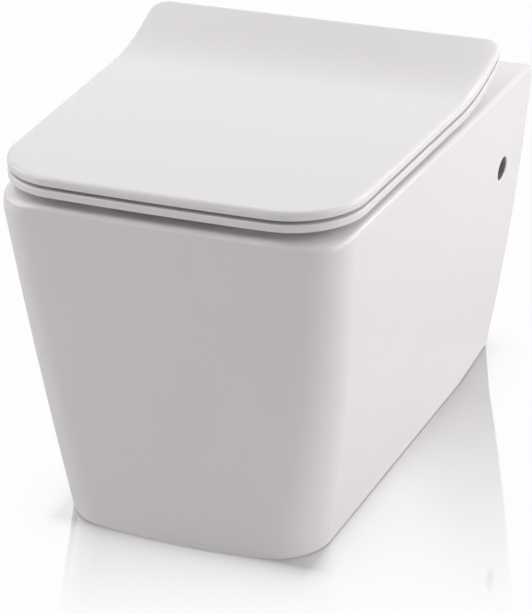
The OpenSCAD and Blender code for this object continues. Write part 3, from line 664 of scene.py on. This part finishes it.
GLAZE = material("glazed_ceramic", [0.815, 0.784, 0.779], 0.13, vary=0.006, rough_vary=0.02, scale=7,
                 bump=0.15, bump_scale=26, bump_depth=0.0004)
BISQUE = material("unglazed_ceramic", [0.80, 0.785, 0.76], 0.6, vary=0.03, rough_vary=0.08, scale=40,
                  bump=0.5, bump_scale=700, bump_depth=0.0002)
SEAT = material("moulded_seat", [0.815, 0.786, 0.791], 0.2, vary=0.004, rough_vary=0.02, scale=8,
                bump=0.1, bump_scale=40, bump_depth=0.0002)
HINGE = material("hinge_plastic", [0.78, 0.78, 0.78], 0.42, vary=0.01, scale=60,
                 bump=0.4, bump_scale=1500, bump_depth=0.00004)
DAMPER = material("damper_plastic", [0.06, 0.06, 0.065], 0.45, vary=0.06, scale=80,
                  bump=0.4, bump_scale=1500, bump_depth=0.00004)
CHROME = material("chrome_trim", [0.82, 0.83, 0.85], 0.09, vary=0.01, rough_vary=0.03, scale=50, metal=1.0)
STEEL = material("brushed_steel", [0.62, 0.63, 0.64], 0.32, vary=0.05, rough_vary=0.08, scale=120, metal=1.0,
                 stretch=(1, 12, 12), bump=0.3, bump_scale=500, bump_depth=0.00003)
RUBBER = material("black_rubber", [0.025, 0.025, 0.027], 0.7, vary=0.1, scale=90,
                  bump=0.5, bump_scale=900, bump_depth=0.00008)
BUFFER = material("buffer_rubber", [0.7, 0.71, 0.71], 0.5, vary=0.02, scale=90,
                  bump=0.3, bump_scale=900, bump_depth=0.00005)


def unglazed_shaded_holes(m, colour):
    """Gives the drilled walls of the side holes, which lie within the holes' radius, an unglazed colour,
    darkened far below bare ceramic's as painted shade in the recess.
    """
    t = m.node_tree
    shader = next(n for n in t.nodes if n.type == "BSDF_PRINCIPLED")
    glaze = shader.inputs["Base Color"].links[0].from_socket
    co = t.nodes.new("ShaderNodeTexCoord")
    xyz = t.nodes.new("ShaderNodeSeparateXYZ")
    t.links.new(co.outputs["Object"], xyz.inputs["Vector"])
    y = calc(t, "SUBTRACT", xyz.outputs["Y"], HOLE_Y * MM)
    z = xyz.outputs["Z"]
    r = calc(t, "SQRT", calc(t, "ADD", calc(t, "MULTIPLY", y, y), calc(t, "MULTIPLY", z, z)))
    c = t.nodes.new("ShaderNodeMix")
    c.data_type = "RGBA"
    edge = ((HOLE_R + BARE_SHADE_END) * MM, (HOLE_R + GLAZE_START) * MM)
    t.links.new(span(t, r, edge, (1, 0)), c.inputs["Factor"])
    t.links.new(glaze, c.inputs["A"])
    c.inputs["B"].default_value = (*colour, 1)
    t.links.new(c.outputs["Result"], shader.inputs["Base Color"])


PAN_GLAZE = GLAZE.copy()
PAN_GLAZE.name = "glazed_pan"
# The holes' walls: unglazed ceramic, darkened to 0.33 as painted shade inside the holes
unglazed_shaded_holes(PAN_GLAZE, (0.33, 0.32, 0.32))


def dress(o, m):
    """Gives an object this material in every slot."""
    o.data.materials.clear()
    o.data.materials.append(m)


def place(o, body, m, slot, *nodes):
    """Dresses a new piece, lets it ride on its body and stand for its CAD nodes, if any are named."""
    dress(o, m)
    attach(o, body)
    if nodes:
        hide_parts(*nodes)


place(ceramic_body(), "pan", PAN_GLAZE, "ceramic", "pan_shell", "rim_deck")
place(ceramic_bowl(), "pan", GLAZE, "ceramic", "bowl", "sump")
place(lid_skin(), "lid", SEAT, "seat_plastic", "lid_panel")
place(seat_skin(), "seat", SEAT, "seat_plastic", "seat_ring")

# CAD nodes that get rounded edges: the body they ride on, their look and slot, and the rounding's width
SOFT = {
    "hinge_block_left": ("hinge_carrier", HINGE, "hinge_plastic", 1.2),
    "hinge_block_right": ("hinge_carrier", HINGE, "hinge_plastic", 1.2),
    "release_button_left": ("button_left", CHROME, "chrome_trim", 0.6),
    "release_button_right": ("button_right", CHROME, "chrome_trim", 0.6),
    "seat_arms": ("seat", HINGE, "hinge_plastic", 1.0),
    "lid_arms": ("lid", HINGE, "hinge_plastic", 1.0),
    "seat_buffers": ("seat", BUFFER, "buffer_rubber", 1.5),
    "lid_buffers": ("lid", BUFFER, "buffer_rubber", 1.2),
}
for node, (owner, look, slot_name, width) in SOFT.items():
    place(soften(node, width), owner, look, slot_name)

# CAD nodes that keep their shape
LOOKS = (
    (GLAZE, ("trapway", "flush_duct", "inlet_socket")),
    (BISQUE, ("rear_frame",)),
    (RUBBER, ("inlet_seal", "expansion_plugs")),
    (HINGE, ("stud_sleeves", "lid_bush", "seat_bush")),
    (DAMPER, ("lid_damper", "seat_damper")),
    (CHROME, ("cover_caps",)),
    (STEEL, ("fixing_brackets", "clamp_screws", "seat_studs", "plug_nuts", "base_plates", "hinge_posts",
             "button_spring_left", "button_spring_right", "lid_damper_shaft", "lid_pin",
             "seat_damper_shaft", "seat_pin", "seat_arm_screws", "lid_arm_screws")),
)
for look, nodes in LOOKS:
    for node in nodes:
        dress(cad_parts[node], look)


# Floor, world, lights and camera, in metres
WORLD_LIGHT, FLOOR_GREY, MIRROR_ROUGH = 0.12, 0.8, 0.05
# White of the background, tint of the mirror image, and how much darker it is where the foot stands: painted
# contact shadow
WHITE, MIRROR_TINT, CONTACT_SHADOW_TINT = 0.985, 0.72, 0.14
# Round the foot the image is stronger and so darker, as painted contact shadow: over this distance, and by
# this share of what the fade took away
CONTACT_SHADOW_FADE, CONTACT_SHADOW_SHARE = 0.014, 0.8
# Away from the wall, toward the viewer, the image fades from full to this share
TO_VIEWER_X, TO_VIEWER_Y = 0.3835, -0.9236
FADE_FROM, FADE_TO, FADE_END = 0.15, 0.56, 0.03
# Where the foot ends in front, the floor's half size, and its height
FOOT_FRONT, FLOOR_HALF, FLOOR_Z = 0.474, 6, (FOOT_Z + 1.3) * MM


def studio_world():
    """A world that lights the part softly and looks white: plain white to the camera, and bright enough
    in mirror images for the tinted floor to show the same white."""
    w = bpy.data.worlds.new("studio")
    bpy.context.scene.world = w
    t = blank(w)
    out = t.nodes.new("ShaderNodeOutputWorld")
    path = t.nodes.new("ShaderNodeLightPath")

    def background(value):
        n = t.nodes.new("ShaderNodeBackground")
        n.inputs["Color"].default_value = (1, 1, 1, 1)
        n.inputs["Strength"].default_value = value
        return n.outputs["Background"]

    mirrored_white = background(WHITE / MIRROR_TINT)
    lit = choose(t, path.outputs["Is Glossy Ray"], background(WORLD_LIGHT), mirrored_white)
    seen = choose(t, path.outputs["Is Camera Ray"], lit, background(WHITE))
    t.links.new(seen, out.inputs["Surface"])


def studio_floor():
    """A wide plain floor at the height where the foot's rounded edge turns away from the viewer. It climbs
    with the underside, so that the mirror image starts at the visible edge all along, and keeps upright
    normals there, so that the image stays in one piece. The camera sees it white with that image, which
    fades evenly toward the viewer, and near the foot is stronger and darker as painted contact shadow."""
    high = FLOOR_Z + CLIMB * MM
    rows = [(-FLOOR_HALF, FLOOR_Z), (-CLIMB_LENGTH * MM, FLOOR_Z), (0, high), (FLOOR_HALF, high)]
    corners = [(x, y, z) for y, z in rows for x in (-FLOOR_HALF, FLOOR_HALF)]
    data = bpy.data.meshes.new("floor")
    data.from_pydata(corners, [], [(k, k + 1, k + 3, k + 2) for k in (0, 2, 4)])
    data.shade_smooth()
    data.normals_split_custom_set([(0, 0, 1)] * len(data.loops))
    o = linked("floor", data)
    m = bpy.data.materials.new("floor")
    t = blank(m)
    out = t.nodes.new("ShaderNodeOutputMaterial")
    path = t.nodes.new("ShaderNodeLightPath")
    co = t.nodes.new("ShaderNodeTexCoord")
    xyz = t.nodes.new("ShaderNodeSeparateXYZ")
    t.links.new(co.outputs["Object"], xyz.inputs["Vector"])
    x, y = xyz.outputs["X"], xyz.outputs["Y"]
    taper = (WALL_HALF[0] - FRONT_HALF[0]) / LENGTH[0]
    foot_half = calc(t, "MULTIPLY_ADD", y, taper, WALL_HALF[0] * MM)
    beside = calc(t, "MAXIMUM", calc(t, "SUBTRACT", calc(t, "ABSOLUTE", x), foot_half), 0.0)
    before = calc(t, "MAXIMUM", calc(t, "SUBTRACT", calc(t, "MULTIPLY", y, -1.0), FOOT_FRONT), 0.0)
    behind = calc(t, "MAXIMUM", y, 0.0)
    away = calc(t, "ADD", calc(t, "ADD", beside, before), behind)
    # Painted contact shadow: 1 at the foot, falling off with distance from its outline
    near = calc(t, "EXPONENT", calc(t, "DIVIDE", away, -CONTACT_SHADOW_FADE))
    depth = calc(t, "ADD", calc(t, "MULTIPLY", x, TO_VIEWER_X), calc(t, "MULTIPLY", y, TO_VIEWER_Y))
    far = span(t, depth, (FADE_FROM, FADE_TO), (1.0, FADE_END))
    edge = calc(t, "MULTIPLY", calc(t, "SUBTRACT", 1.0, far), calc(t, "MULTIPLY", near, CONTACT_SHADOW_SHARE))
    white = t.nodes.new("ShaderNodeEmission")
    white.inputs["Color"].default_value = (WHITE, WHITE, WHITE, 1)
    gloss = t.nodes.new("ShaderNodeBsdfGlossy")
    gloss.inputs["Roughness"].default_value = MIRROR_ROUGH
    # The mirror image is darker near the foot: painted contact shadow
    t.links.new(calc(t, "MULTIPLY_ADD", near, -CONTACT_SHADOW_TINT, MIRROR_TINT), gloss.inputs["Color"])
    matte = t.nodes.new("ShaderNodeBsdfDiffuse")
    matte.inputs["Color"].default_value = (FLOOR_GREY, FLOOR_GREY, FLOOR_GREY, 1)
    seen = choose(t, calc(t, "ADD", far, edge), white.outputs["Emission"], gloss.outputs["BSDF"])
    both = choose(t, path.outputs["Is Camera Ray"], matte.outputs["BSDF"], seen)
    t.links.new(both, out.inputs["Surface"])
    data.materials.append(m)


studio_world()
studio_floor()

# Soft rectangular lamps that face the part: place, size and power
LAMP_TARGET = (0.0, -0.25, -0.05)
LAMPS = {
    "right": ((2.737, -0.25, 0.908), (2.2, 2.2), 34.8),
    "right_rear": ((2.075, 1.306, 1.247), (2.0, 2.0), 33.5),
    "top_rear": ((0.289, 1.481, 2.258), (1.6, 1.6), 19.2),
    "left_high": ((-2.105, -0.881, 1.844), (3.0, 3.0), 55.5),
    "front_low": ((-0.568, -3.09, -0.192), (1.6, 0.35), 12.0),
}
for lamp_name, (lamp_at, lamp_size, power) in LAMPS.items():
    lamp = bpy.data.lights.new(lamp_name, "AREA")
    lamp.shape = "RECTANGLE"
    lamp.size, lamp.size_y = lamp_size
    lamp.energy = power
    stand = linked(lamp_name, lamp)
    stand.location = lamp_at
    stand.rotation_euler = (Vector(LAMP_TARGET) - Vector(lamp_at)).to_track_quat("-Z", "Y").to_euler()

# The picture's frame, its axis and its focal length in pixels, the sensor in millimetres, and the view
FRAME_WIDTH, FRAME_HEIGHT, AXIS_X, AXIS_Y, FOCAL = 532, 614, 269.67, 300.35, 2434.1
SENSOR = 36
AZIMUTH, ELEVATION, ROLL = map(math.radians, (22.55, 25.54, -0.88))
CAMERA_AT = (0.8390, -2.2662, 0.9501)


def camera():
    """A long lens at the photograph's viewing angle; the shift moves its axis off the frame's middle."""
    back = Vector((math.sin(AZIMUTH) * math.cos(ELEVATION), -math.cos(AZIMUTH) * math.cos(ELEVATION),
                   math.sin(ELEVATION)))
    right = (-back).cross(Vector((0, 0, 1))).normalized()
    up = right.cross(-back)
    right, up = right * math.cos(ROLL) + up * math.sin(ROLL), up * math.cos(ROLL) - right * math.sin(ROLL)
    d = bpy.data.cameras.new("camera")
    d.sensor_fit = "VERTICAL"
    d.sensor_height = SENSOR
    d.sensor_width = SENSOR * FRAME_WIDTH / FRAME_HEIGHT
    d.lens = FOCAL * SENSOR / FRAME_HEIGHT
    d.shift_x = (FRAME_WIDTH / 2 - AXIS_X) / FRAME_HEIGHT
    d.shift_y = (AXIS_Y - FRAME_HEIGHT / 2) / FRAME_HEIGHT
    o = linked("camera", d)
    m = Matrix((right, up, back)).transposed().to_4x4()
    m.translation = CAMERA_AT
    o.matrix_world = m
    bpy.context.scene.camera = o


camera()
bpy.context.scene.view_settings.view_transform = "Standard"

bpy.context.view_layer.update()
